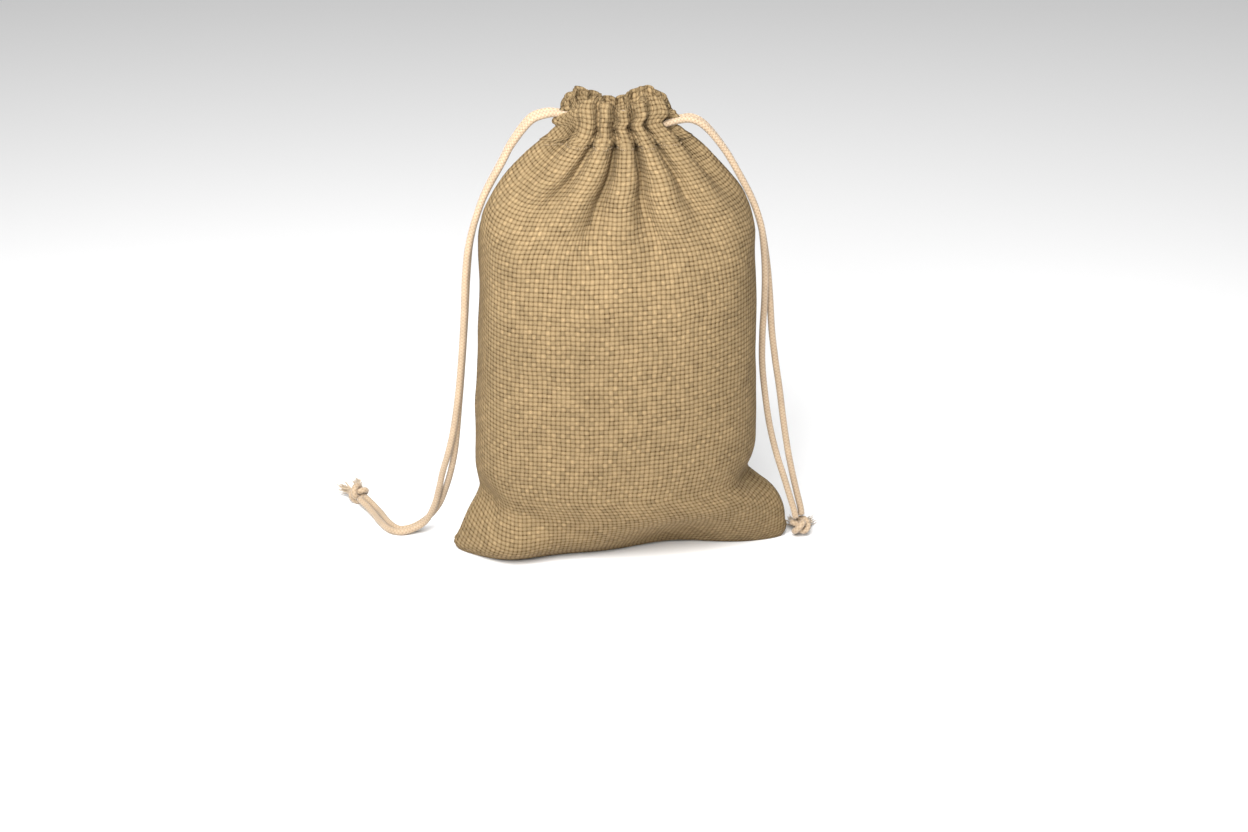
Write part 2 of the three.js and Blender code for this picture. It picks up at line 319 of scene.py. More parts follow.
def thin_tubes(name, lines, radius):
    """Many thin closed tubes in one mesh. lines is (tubes, points, 3), and each line has a section
    of six sides, of radius (1 - t^2 / 2) where t is 0 at its middle and 1 at its filled ends."""
    sides = 6
    tubes, count = lines.shape[:2]
    tangent = np.gradient(lines, axis=1)
    tangent /= np.linalg.norm(tangent, axis=-1, keepdims=True)
    side = np.cross(tangent, (0.31, 0.52, 0.79))
    side /= np.linalg.norm(side, axis=-1, keepdims=True)
    up = np.cross(tangent, side)
    angle = np.linspace(0, TAU, sides + 1)[:-1][None, None, :, None]
    t = np.linspace(-1, 1, count)[None, :, None, None]
    ring = side[:, :, None] * np.cos(angle) + up[:, :, None] * np.sin(angle)
    points = lines[:, :, None] + ring * radius * (1 - 0.5 * t * t)
    number = np.arange(tubes * count * sides).reshape(tubes, count, sides)
    number = np.concatenate([number, number[..., :1]], axis=-1)
    quads = np.stack(
        [number[:, :-1, :-1], number[:, :-1, 1:], number[:, 1:, 1:], number[:, 1:, :-1]], axis=-1)
    ends = np.concatenate([number[:, 0, :-1][:, ::-1], number[:, -1, :-1]])
    along = np.broadcast_to(np.linspace(0, 1, count)[None, :, None], number[..., :-1].shape)
    around = np.broadcast_to(np.arange(sides)[None, None] / sides, number[..., :-1].shape)
    faces = quads.reshape(-1, 4).tolist() + ends.tolist()
    mesh = bpy.data.meshes.new(name)
    mesh.from_pydata(points.reshape(-1, 3).tolist(), [], faces)
    loops = np.zeros(len(mesh.loops), np.int32)
    mesh.loops.foreach_get("vertex_index", loops)
    places = np.stack([around.reshape(-1), along.reshape(-1)], axis=-1)[loops]
    mesh.uv_layers.new(name="cloth").data.foreach_set("uv", places.astype(np.float32).ravel())
    smooth_shaded(mesh)
    return placed(name, mesh)


# ---------------------------------------------------------------- materials


class Nodes:
    """A small hand for wiring a material's nodes."""

    def __init__(self, name):
        self.material = bpy.data.materials.new(name)
        self.material.use_nodes = True
        self.tree = self.material.node_tree
        self.shader = self.tree.nodes["Principled BSDF"]

    def add(self, kind, **settings):
        """A new node of a kind, with its settings."""
        node = self.tree.nodes.new(kind)
        for key, value in settings.items():
            setattr(node, key, value)
        return node

    def put(self, socket, value):
        """Links a socket, or sets a plain number or colour on it."""
        if isinstance(value, bpy.types.NodeSocket):
            self.tree.links.new(value, socket)
        else:
            socket.default_value = value

    def math(self, operation, *values):
        """One sum on its values."""
        node = self.add("ShaderNodeMath", operation=operation)
        for socket, value in zip(node.inputs, values):
            self.put(socket, value)
        return node.outputs[0]

    def shaded(self, colour, shade):
        """The colour times a plain number."""
        node = self.add("ShaderNodeMix", data_type="RGBA", blend_type="MULTIPLY")
        factor, first, second = (node.inputs[place] for place in (0, 6, 7))
        self.put(factor, 1.0)
        self.put(first, colour)
        self.put(second, self.vector(shade, shade, shade))
        return node.outputs[2]

    def noise(self, vector, scale, detail=2.0, roughness=0.5):
        """Soft noise, from 0 to 1, at a place."""
        node = self.add("ShaderNodeTexNoise")
        self.put(node.inputs["Vector"], vector)
        self.put(node.inputs["Scale"], scale)
        self.put(node.inputs["Detail"], detail)
        self.put(node.inputs["Roughness"], roughness)
        return node.outputs["Fac"]

    def vector(self, x, y, z=0.0):
        """Three numbers as one vector."""
        node = self.add("ShaderNodeCombineXYZ")
        for socket, value in zip(node.inputs, (x, y, z)):
            self.put(socket, value)
        return node.outputs[0]

    def uv(self):
        """The two coordinates of the mesh's own map."""
        split = self.add("ShaderNodeSeparateXYZ")
        place = self.add("ShaderNodeUVMap", uv_map="cloth")
        self.put(split.inputs[0], place.outputs[0])
        return split.outputs[0], split.outputs[1]

    def object_place(self):
        """The place on the object, in metres."""
        return self.add("ShaderNodeTexCoord").outputs["Object"]

    def ramp(self, value, stops):
        """A colour for each value, by (place, colour) stops."""
        node = self.add("ShaderNodeValToRGB")
        ramp = node.color_ramp
        while len(ramp.elements) < len(stops):
            ramp.elements.new(0.5)
        for element, (place, colour) in zip(ramp.elements, stops):
            element.position = place
            element.color = (*colour, 1.0)
        self.put(node.inputs[0], value)
        return node.outputs[0]

    def bump(self, height, distance):
        """The normal of a relief whose height from 0 to 1 is that distance in metres."""
        node = self.add("ShaderNodeBump")
        self.put(node.inputs["Height"], height)
        self.put(node.inputs["Distance"], distance)
        self.put(node.inputs["Strength"], 1.0)
        return node.outputs[0]

    def finish(self, colour, roughness, normal=None, sheen=0.0, specular=0.3):
        """Sets the shader and returns the material."""
        self.put(self.shader.inputs["Base Color"], colour)
        self.put(self.shader.inputs["Roughness"], roughness)
        self.put(self.shader.inputs["Specular IOR Level"], specular)
        self.put(self.shader.inputs["Sheen Weight"], sheen)
        self.put(self.shader.inputs["Sheen Roughness"], 0.5)
        if normal is not None:
            self.put(self.shader.inputs["Normal"], normal)
        return self.material


def plain_weave(n, x, y, yarn, rise=0.45):
    """Height of a plain weave at x, y, counted in yarns, for yarns as wide as the given share of
    their pitch. Each yarn has a half-round section and rises and dips as a cosine, one yarn pitch
    over and one under; neighbours are half a wave apart, and the higher yarn is seen. Returns the
    height from -1 to 1 and which yarn is on top."""
    across_x = n.math("SUBTRACT", n.math("FRACT", x), 0.5)
    across_y = n.math("SUBTRACT", n.math("FRACT", y), 0.5)
    cell = n.math("ADD", n.math("FLOOR", x), n.math("FLOOR", y))
    parity = n.math("FLOORED_MODULO", cell, 2.0)
    sign = n.math("MULTIPLY_ADD", parity, -2.0, 1.0)

    def yarn_height(across, along, way):
        """Height of one yarn, and far below the weave beside it; way is 1 or -1."""
        share = n.math("DIVIDE", n.math("MULTIPLY", across, 2.0), yarn)
        left = n.math("SUBTRACT", 1.0, n.math("MULTIPLY", share, share))
        round_top = n.math("SQRT", n.math("MAXIMUM", left, 0.0))
        wave = n.math("COSINE", n.math("MULTIPLY", along, math.pi))
        lift = n.math("MULTIPLY", n.math("MULTIPLY", wave, sign), way * rise)
        height = n.math("MULTIPLY_ADD", round_top, 1 - rise, lift)
        off = n.math("MULTIPLY", n.math("LESS_THAN", left, 0.0), 2.0)
        return n.math("SUBTRACT", height, off)

    warp = yarn_height(across_x, across_y, 1.0)
    weft = yarn_height(across_y, across_x, -1.0)
    height = n.math("MAXIMUM", n.math("MAXIMUM", warp, weft), -1.0)
    return height, n.math("GREATER_THAN", warp, weft)


def burlap(settings):
    """Open plain weave of matt, slightly uneven yarn, with a painted highlight where it rises and
    painted shade where it dips and in the brown gaps between. The yarns wander, each swells and
    thins along its length, and they differ a little in colour."""
    n = Nodes("burlap")
    u, v = n.uv()
    place = n.object_place()
    sideways = n.math("MULTIPLY", n.noise(n.vector(v, u, 7.0), 0.11), 0.8)
    wander = n.math("MULTIPLY_ADD", n.noise(place, 90.0), 0.5, sideways)
    x = n.math("ADD", u, wander)
    y = n.math("ADD", v, n.math("MULTIPLY", n.noise(n.vector(u, v, 3.0), 0.13), 0.9))
    warp = n.math("FLOOR", x)
    weft = n.math("FLOOR", y)
    warp_slub = n.noise(n.vector(warp, n.math("MULTIPLY", y, 0.22), 0.0), 1.0, 1.0)
    weft_slub = n.noise(n.vector(n.math("MULTIPLY", x, 0.22), weft, 9.0), 1.0, 1.0)
    width = n.math("MULTIPLY_ADD", n.math("ADD", warp_slub, weft_slub), 0.44, 0.44)
    height, warp_up = plain_weave(n, x, y, width, 0.5)
    level = n.math("MULTIPLY_ADD", height, 0.5, 0.5)
    light, dark, gap = settings.yarn_highlight, settings.yarn_dip_shade, settings.gap
    middle = [0.5 * (a + b) for a, b in zip(light, dark)]
    # Painted highlight on the yarn tops, painted shade where the yarns dip and in the gaps between
    # them.
    colour = n.ramp(level, [(0.08, gap), (0.48, dark), (0.74, middle), (0.97, light)])
    tint = n.math(
        "ADD", n.math("MULTIPLY", warp_up, warp_slub),
        n.math("MULTIPLY", n.math("SUBTRACT", 1.0, warp_up), weft_slub))
    patch = n.math("MULTIPLY_ADD", n.noise(place, 55.0, 3.0, 0.6), 0.35, 0.46)
    bead = n.add("ShaderNodeTexWhiteNoise", noise_dimensions="2D")
    n.put(bead.inputs["Vector"], n.vector(warp, weft))
    uneven = n.math("MULTIPLY_ADD", bead.outputs["Value"], 0.20, patch)
    colour = n.shaded(colour, n.math("MULTIPLY_ADD", tint, 0.45, uneven))
    fine = n.vector(n.math("MULTIPLY", x, 5.0), n.math("MULTIPLY", y, 5.0), 1.0)
    fibre = n.noise(fine, 1.6, 3.0, 0.7)
    colour = n.shaded(colour, n.math("MULTIPLY_ADD", fibre, 1.3, 0.35))
    # Painted light: the weft on top is made lighter and the warp on top darker, as if lit from
    # above.
    colour = n.shaded(colour, n.math("MULTIPLY_ADD", warp_up, -0.10, 1.05))
    relief = n.math("ADD", level, n.math("MULTIPLY", fibre, 0.35))
    return n.finish(colour, 0.9, n.bump(relief, 0.0008), sheen=0.0, specular=0.12)


def braid(settings, name):
    """A fine round braid: the plain weave turned on its corner, four yarns each way round."""
    n = Nodes(name)
    u, v = n.uv()
    along = n.math("DIVIDE", v, settings.braid_pitch)
    around = n.math("MULTIPLY", u, 4.0)
    height, _ = plain_weave(n, n.math("ADD", around, along), n.math("SUBTRACT", around, along), 0.96)
    level = n.math("MULTIPLY_ADD", height, 0.5, 0.5)
    # Painted highlight on the raised braid, painted shade between its strands.
    colour = n.ramp(level, [(0.45, settings.dark), (0.95, settings.light)])
    patch = n.noise(n.object_place(), 160.0, 3.0, 0.6)
    colour = n.shaded(colour, n.math("MULTIPLY_ADD", patch, 0.4, 0.8))
    return n.finish(colour, 0.7, n.bump(level, 0.0003), sheen=0.25, specular=0.35)


def yarn_ends(settings):
    """Loose fibres, pale and matt, streaked from one to the next."""
    n = Nodes("yarn_ends")
    patch = n.noise(n.object_place(), 900.0, 2.0)
    colour = n.shaded((*settings.frayed, 1.0), n.math("MULTIPLY_ADD", patch, 0.5, 0.75))
    return n.finish(colour, 0.85, sheen=0.3, specular=0.2)


def sewing_thread(settings):
    """Twisted sewing thread: slanting ridges along it, with painted shade between them and a painted
    highlight on them.
    """
    n = Nodes("sewing_thread")
    u, v = n.uv()
    twist = n.math("SINE", n.math("MULTIPLY", n.math("MULTIPLY_ADD", v, 3.0, u), TAU))
    level = n.math("MULTIPLY_ADD", twist, 0.5, 0.5)
    light = [min(1.0, 1.05 * c) for c in settings.yarn_highlight]
    # Painted shade in the grooves of the twist and a painted highlight on its ridges.
    colour = n.ramp(level, [(0.0, settings.yarn_dip_shade), (0.7, light)])
    return n.finish(colour, 0.75, n.bump(level, 0.00008), sheen=0.1, specular=0.3)


# ---------------------------------------------------------------- the shape of the pouch

# Height, half width, half depth and lean to the right in millimetres on the 120 mm wide pouch, and
# how square the section is: under 2 a lens, 2 an ellipse, over 2 a rounded box. The greatest half
# width stands for half the width of the CAD panels, and the whole outline is scaled by that.
OUTLINE_HALF_WIDTH = 60.2
OUTLINE = (
    (0.0, 58.4, 8.5, 0.0, 1.75),
    (3.0, 60.2, 12.5, 0.1, 1.68),
    (7.0, 59.1, 18.0, 0.9, 1.65),
    (14.0, 57.0, 22.8, 1.8, 1.78),
    (20.0, 54.1, 25.4, 1.6, 1.95),
    (24.0, 51.2, 26.8, -0.1, 2.08),
    (28.0, 49.0, 28.0, -2.4, 2.15),
    (34.0, 49.3, 29.0, -2.3, 2.25),
    (41.0, 49.5, 30.0, -1.7, 2.30),
    (54.0, 49.2, 31.0, -1.5, 2.35),
    (68.0, 48.3, 31.5, -1.3, 2.40),
    (90.0, 47.6, 31.5, -1.2, 2.40),
    (112.0, 47.0, 31.0, -1.2, 2.40),
    (120.0, 46.4, 29.8, -1.2, 2.35),
    (128.6, 44.0, 26.5, -1.4, 2.25),
    (137.0, 38.7, 21.5, -1.6, 2.10),
    (145.0, 31.4, 16.0, -1.5, 2.00),
    (150.0, 25.9, 12.6, -1.2, 1.95),
    (152.7, 22.6, 10.9, -1.4, 1.90),
    (155.4, 20.2, 10.0, -1.9, 1.85),
    (158.1, 22.2, 10.2, -1.1, 1.85),
    (160.8, 21.6, 10.0, -1.4, 1.85),
    (164.0, 18.5, 9.2, -1.0, 1.85),
)
# The gathers, as creases between rounded pleats, in millimetres: place in the cloth from the
# half's first seam, reach to either side at the neck, height where it fades out, and strength.
FRONT_FOLDS = (
    (14, 16, 118, 0.9),
    (31, 14, 112, 2.0),
    (43, 10, 136, 0.7),
    (54, 18, 98, 3.0),
    (75, 18, 98, 3.0),
    (83, 6, 149, 0.7),
    (98, 14, 110, 2.2),
    (107, 9, 134, 0.7),
    (117, 15, 116, 1.5),
)
BACK_FOLDS = (
    (12, 15, 115, 1.5),
    (27, 13, 122, 1.4),
    (39, 11, 130, 1.2),
    (53, 15, 106, 2.0),
    (68, 13, 122, 1.4),
    (79, 12, 112, 1.7),
    (91, 11, 130, 1.2),
    (104, 13, 120, 1.4),
    (118, 15, 114, 1.5),
)
# Dents above the bottom corners: share of the way round to the seam they belong to, place from it,
# height and depth, in millimetres.
DENTS = ((0.0, 10, 22, 3.4), (0.5, -10, 25, 3.2), (0.5, 10, 24, 2.8), (0.0, -10, 25, 2.8))
DENT_REACH = 8 * MM
# How far the mouth's edge rises above or below its mean: place in the cloth and lift, in
# millimetres.
MOUTH_EDGE = (
    (0, -4.6), (12, -1.8), (26, 2.4), (37, 1.0), (50, -1.4), (64, -1.8), (78, -1.2), (92, 1.4),
    (103, 2.2), (117, -1.8), (130, -4.6), (146, -0.8), (165, 2.4), (180, 0.2), (200, -1.4),
    (214, 0.4), (230, 2.8), (247, -0.6), (260, -4.6),
)


def section_lines(half_width, half_depth, squareness, samples=1441):
    """Superellipses, one per row: |x / half width|^n + |y / half depth|^n = 1, walked from the
    left seam over the front to the right seam and back. Returns the points, closed, and the
    running length along each."""
    angle = np.linspace(0, TAU, samples)[None, :]
    power = (2 / squareness)[:, None]
    x = -half_width[:, None] * np.sign(np.cos(angle)) * np.abs(np.cos(angle)) ** power
    y = -half_depth[:, None] * np.sign(np.sin(angle)) * np.abs(np.sin(angle)) ** power
    step = np.hypot(np.diff(x, axis=1), np.diff(y, axis=1))
    run = np.concatenate([np.zeros((len(x), 1)), np.cumsum(step, axis=1)], axis=1)
    return x, y, run


def fold_slopes(cloth_place, around, height):
    """How steeply the cloth runs in and out at each place. Each crease adds a saw tooth,
    tanh(d / roundness) (1 - |d| / reach) at distance d from it, so the cloth between two creases
    bends in a round pleat. A crease fades in upwards from its own height, where it is broad and
    rounded, to the neck, where it is narrow and sharp."""
    half = around / 2
    total = np.zeros(np.broadcast(cloth_place, height).shape)
    for start, folds in ((0.0, FRONT_FOLDS), (half, BACK_FOLDS)):
        for place, reach, foot, strength in folds:
            low = foot * MM
            grown = smooth(height, low, low + 24 * MM)
            wide = reach * MM * (2.1 - 1.1 * smooth(height, low, HEM_FOOT))
            roundness = (6.5 - 5.4 * smooth(height, low, HEM_FOOT - 8 * MM)) * MM
            away = cloth_place - (start + place * MM)
            away = (away + half) % around - half
            near = np.clip(1 - np.abs(away) / wide, 0, 1)
            total += strength * grown * np.tanh(away / roundness) * near
    return total


def gathered(cloth_place, around, height, outline_length):
    """Slack cloth drawn into a shorter outline keeps its own length: it turns in and out at the
    angle a = limit tanh(k slope / limit), and the steepness k of each row is what makes the mean
    of cos a equal outline / cloth, found by halving. Going along, it advances by cos a and moves
    in or out by sin a. The front and the back each take half of the outline, so the side seams
    stay at the sides. Returns the advance as a share of the outline, and the depth."""
    slope = fold_slopes(cloth_place, around, height)
    limit = 1.5
    steepest = 30.0
    halvings = 28
    slack = (1 - outline_length / around) * smooth(height, 94 * MM, 130 * MM)
    wanted = np.clip(1 - slack, 0.05, 1.0)
    low = np.zeros_like(wanted)
    high = np.full_like(wanted, steepest)
    for _ in range(halvings):
        middle = (low + high) / 2
        loose = np.cos(limit * np.tanh(middle * slope / limit)).mean(axis=1, keepdims=True) > wanted
        low = np.where(loose, middle, low)
        high = np.where(loose, high, middle)
    turned = limit * np.tanh(low * slope / limit)
    count = cloth_place.shape[1]
    pace = np.cos(turned)
    halves = [half / (2 * half.sum(axis=1, keepdims=True)) for half in np.split(pace, 2, axis=1)]
    share = np.concatenate(halves, axis=1)
    advance = np.cumsum(share, axis=1) - share
    sway = np.sin(turned)
    sway = sway - sway.mean(axis=1, keepdims=True)
    depth = (np.cumsum(sway, axis=1) - sway) * around / count
    return advance, depth - crest_line(depth, around)


def crest_line(depth, around, reach=11 * MM):
    """The line over the tops of the pleats: the greatest depth within reach, then its mean."""
    count = int(round(reach / around * depth.shape[1]))
    shifts = range(-count, count + 1)
    top = np.max([np.roll(depth, shift, axis=1) for shift in shifts], axis=0)
    return np.mean([np.roll(top, shift, axis=1) for shift in shifts], axis=0)


def pouch_surface(settings):
    """The cloth as rows of points. A row is a superellipse at its height, with the slack cloth
    folded in and out along it. Rows run from the bottom fold out along the base, up the body,
    up the hem, over its top edge and down inside it. Returns the points, each column's place in
    the cloth in metres, and the cloth's length round."""
    columns = settings.columns
    around = 2 * settings.flat_width
    cloth_place = (np.arange(columns)[None] / columns) * around
    body_rows = HEM_FOOT * (np.linspace(0, 1, BODY_ROWS) ** 1.12)
    hem_rows = np.linspace(HEM_FOOT, HEM_TOP, HEM_ROWS)[1:]
    roll = np.linspace(0, math.pi, ROLL_ROWS)[1:]
    inner_rows = np.linspace(HEM_TOP, HEM_FOOT - 2 * MM, INNER_ROWS)[1:]
    height = np.concatenate([
        body_rows, hem_rows, HEM_TOP + 0.9 * MM * np.sin(roll), inner_rows])
    inside = np.concatenate([
        0 * body_rows, 0 * hem_rows, (1 - np.cos(roll)) / 2, 1 + 0 * inner_rows])[:, None]
    half_width, half_depth, lean, squareness = through(OUTLINE, np.minimum(height, HEM_TOP) / MM)
    scale = BASE_HALF_WIDTH / OUTLINE_HALF_WIDTH
    half_width = half_width * scale
    half_depth = half_depth * scale
    x, y, run = section_lines(half_width, half_depth, squareness)
    rows = height[:, None]
    advance, depth = gathered(cloth_place, around, np.minimum(rows, HEM_TOP), run[:, -1:])
    place = advance * run[:, -1:]
    ring_x = np.array([np.interp(p, r, line) for p, r, line in zip(place, run, x)])
    ring_y = np.array([np.interp(p, r, line) for p, r, line in zip(place, run, y)])
    out_x, out_y = outward(ring_x, ring_y)
    depth = depth + hand_shapes(cloth_place, around, rows, ring_x)
    depth = around_cords(depth, rows, inside)
    ring_x = ring_x + out_x * depth
    ring_y = ring_y + out_y * depth
    ring_x = ring_x + lean[:, None] * scale
    points = np.stack([ring_x, ring_y, np.broadcast_to(rows, ring_x.shape)], axis=-1)
    points[..., 2] += mouth_edge(cloth_place, around, rows)
    return with_base(rested(points)), cloth_place, around


def around_cords(depth, rows, inside):
    """In the hem the pleats are only as deep as the cords let them be: depth d becomes
    -room (1 - exp(d / room)). The turned-in layer lies close behind the outer one at the hem's
    edges and on the far side of the cords between them."""
    body_room = 26 * MM
    hem_room = 4.4 * MM
    in_hem = smooth(rows, HEM_FOOT - 3 * MM, HEM_FOOT + 4 * MM)
    room = body_room + (hem_room - body_room) * in_hem
    outer = -room * (1 - np.exp(depth / room))
    at_cords = np.exp(-(((rows - CORD_LEVEL + 1.5 * MM) / (3.8 * MM)) ** 4))
    behind = outer - 1.3 * MM
    beyond = -7.7 * MM + 0.2 * outer
    return outer + inside * (behind + (beyond - behind) * at_cords - outer)


def outward(ring_x, ring_y):
    """The directions square to closed rings of points, pointing out."""
    along_x = np.roll(ring_x, -1, axis=1) - np.roll(ring_x, 1, axis=1)
    along_y = np.roll(ring_y, -1, axis=1) - np.roll(ring_y, 1, axis=1)
    length = np.hypot(along_x, along_y) + 1e-9
    return along_y / length, -along_x / length


def hand_shapes(cloth_place, around, rows, ring_x):
    """Depths added one by one: soft unevenness all over, the hollow above the filling, dents above
    the bottom corners, the groove of the side seams, and the nip where the hem is stitched."""
    half = around / 2
    body = smooth(rows, 6 * MM, 30 * MM)
    neck = smooth(rows, 100 * MM, 135 * MM)
    soft = 0.5 * MM * waves(5, cloth_place, rows, 50 * MM) * body
    soft = soft + 0.3 * MM * waves(9, cloth_place, rows, 18 * MM, 2) * neck
    front = smooth(half - cloth_place, -4 * MM, 4 * MM)
    hollow = -1.8 * MM * front * np.exp(
        -(((ring_x - 4 * MM) / (20 * MM)) ** 2) - (((rows - 116 * MM) / (8 * MM)) ** 2))
    from_seam = np.abs((cloth_place + half / 2) % half - half / 2)
    groove = -0.8 * MM * np.exp(-((from_seam / (1.1 * MM)) ** 2)) * smooth(rows, 0, 8 * MM)
    dents = 0
    for seam, away, level, deep in DENTS:
        aside = (cloth_place - seam * around - away * MM + half) % around - half
        above = rows - level * MM
        dents = dents - deep * MM * np.exp(-((aside / DENT_REACH) ** 2) - (above / DENT_REACH) ** 2)
    nip = -0.45 * MM * np.exp(-(((rows - HEM_FOOT) / (0.9 * MM)) ** 2))
    return soft + hollow + groove + dents + nip


def mouth_edge(cloth_place, around, rows):
    """The mouth's edge rises over the broad pleats and sinks in the middle and at the sides."""
    (lift,) = through(MOUTH_EDGE, cloth_place / around * MOUTH_EDGE[-1][0])
    small = 0.5 * waves(3, cloth_place, 0 * cloth_place, 12 * MM, 2)
    return (lift + small) * MM * smooth(rows, HEM_FOOT + 1 * MM, HEM_TOP)


def rested(points):
    """The pouch rests on a broad bulge in front on the left and on its right corner; between the
    two the base is drawn in and slightly off the ground. Each is a bell curve along x."""
    x, y, z = points[..., 0], points[..., 1], points[..., 2]
    low = 1 - smooth(z, 0, 22 * MM)
    drawn_in = np.exp(-(((x - 19 * MM) / (20 * MM)) ** 2))
    bulge = np.exp(-(((x + 46 * MM) / (17 * MM)) ** 2))
    front = np.where(y < 0, 1 + low * (1.15 * bulge - 0.62 * drawn_in), 1.0)
    lift = 1.2 * MM * drawn_in * (1 - smooth(z, 0, 28 * MM))
    return np.stack([x, y * front, z + lift], axis=-1)


def with_base(points):
    """Adds the rows of the base: from the bottom fold, a line along the middle, out to the first
    row. Its height is that row's times share^1.6, with share 0 in the middle and 1 at the row."""
    first = points[:1]
    share = np.linspace(0, 1, BASE_ROWS + 1)[:-1][:, None]
    base = np.repeat(first, BASE_ROWS, axis=0)
    base[..., 1] *= share
    base[..., 2] = first[..., 2] * share**1.6 + 0.2 * MM * (1 - share)
    return np.vstack([base, points])


def cloth_uv(points, cloth_place, around, pitch):
    """Where each yarn lies, counted in yarns: across by the place in the flat cloth, and up by
    the length of cloth from the bottom fold, halfway between each column's own and their mean."""
    climb = np.linalg.norm(np.diff(points, axis=0), axis=-1)
    up = np.vstack([np.zeros((1, points.shape[1])), np.cumsum(climb, axis=0)])
    up = 0.5 * up + 0.5 * up.mean(axis=1, keepdims=True)
    up = np.hstack([up, up[:, :1]])
    across = np.append(cloth_place[0], around)
    across = np.broadcast_to(across, up.shape)
    return np.stack([across / pitch, up / pitch], axis=-1)


# ---------------------------------------------------------------- the routes of the cords

# The end of a strand up to where it hangs free: share of its lead's distance from the middle plane,
# how far in from the lead's middle, and how much higher, in millimetres. The part inside the hem is
# longer than the cord can be pulled out.
HEM_END = (
    (0.9, 30.5, -2.6), (0.95, 21.0, -2.6), (0.8, 10.0, -1.8), (0.5, 3.0, -0.5), (0.8, -1.2, -0.5),
)
# The free strands from just outside the hem to the knot, in metres.
LEFT_FRONT_ROUTE = (
    (-0.0283, -0.00265, 0.1588), (-0.0316, -0.0023, 0.1562), (-0.036, -0.0016, 0.1486),
    (-0.0396, -0.0013, 0.142), (-0.0463, -0.0013, 0.1296), (-0.0508, -0.0013, 0.116),
    (-0.0527, -0.0013, 0.104), (-0.0538, -0.0013, 0.087), (-0.0553, -0.0013, 0.07),
    (-0.057, -0.0011, 0.056), (-0.059, -0.0003, 0.044), (-0.061, 0.0014, 0.0355),
    (-0.0629, 0.0042, 0.028), (-0.0644, 0.0069, 0.0205), (-0.0664, 0.009, 0.0126),
    (-0.0699, 0.0113, 0.0054), (-0.0748, 0.0118, 0.0022), (-0.0792, 0.0118, 0.0013),
    (-0.0831, 0.0144, 0.0013), (-0.0863, 0.0208, 0.0013), (-0.0888, 0.0276, 0.0014),
    (-0.0915, 0.0328, 0.0022), (-0.0943, 0.0368, 0.0035),
)
LEFT_BACK_ROUTE = (
    (-0.0283, 0.00265, 0.1588), (-0.0316, 0.0023, 0.1562), (-0.036, 0.0016, 0.1486),
    (-0.0396, 0.0013, 0.142), (-0.0461, 0.0013, 0.1296), (-0.0504, 0.0013, 0.116),
    (-0.052, 0.0013, 0.104), (-0.0533, 0.0013, 0.087), (-0.0548, 0.0013, 0.07),
    (-0.0562, 0.0015, 0.056), (-0.0574, 0.0023, 0.044), (-0.0585, 0.0034, 0.0355),
    (-0.0602, 0.0055, 0.027), (-0.0621, 0.0085, 0.0196), (-0.0646, 0.0111, 0.0124),
    (-0.0688, 0.0137, 0.006), (-0.0738, 0.0143, 0.0024), (-0.0783, 0.0144, 0.0013),
    (-0.081, 0.0162, 0.0013), (-0.0839, 0.0218, 0.0013), (-0.0864, 0.0286, 0.0014),
    (-0.0892, 0.034, 0.0022), (-0.0922, 0.038, 0.0035),
)
RIGHT_FRONT_ROUTE = (
    (0.0273, -0.00265, 0.1558), (0.0302, -0.0022, 0.1516), (0.0348, -0.0015, 0.1448),
    (0.0398, -0.0013, 0.1364), (0.0446, -0.0013, 0.127), (0.0477, -0.0013, 0.118),
    (0.049, -0.0013, 0.109), (0.0496, -0.0013, 0.1), (0.0496, -0.0014, 0.09),
    (0.0492, -0.0015, 0.079), (0.0494, -0.0015, 0.068), (0.0506, -0.0015, 0.057),
    (0.0526, -0.0015, 0.0445), (0.0553, -0.0016, 0.0335), (0.0583, -0.0019, 0.024),
    (0.0606, -0.0022, 0.0165), (0.0623, -0.0023, 0.011), (0.063, -0.0024, 0.0081),
)
RIGHT_BACK_ROUTE = (
    (0.0273, 0.00265, 0.1558), (0.0302, 0.0022, 0.1516), (0.0348, 0.0015, 0.1448),
    (0.0398, 0.0013, 0.1364), (0.0447, 0.0013, 0.127), (0.0479, 0.0013, 0.118),
    (0.0497, 0.0013, 0.109), (0.051, 0.0013, 0.1), (0.052, 0.0013, 0.09),
    (0.0529, 0.0013, 0.079), (0.0544, 0.0013, 0.068), (0.0562, 0.0013, 0.057),
    (0.058, 0.0012, 0.0445), (0.0598, 0.0009, 0.0335), (0.0618, 0.0006, 0.024),
    (0.0636, 0.0003, 0.0165), (0.065, 0.0001, 0.011), (0.0654, 0.0, 0.0081),
)


# ---------------------------------------------------------------- the pieces


def middle_of(node):
    """The middle of a CAD node's box."""
    return np.mean(corners(node), axis=0)


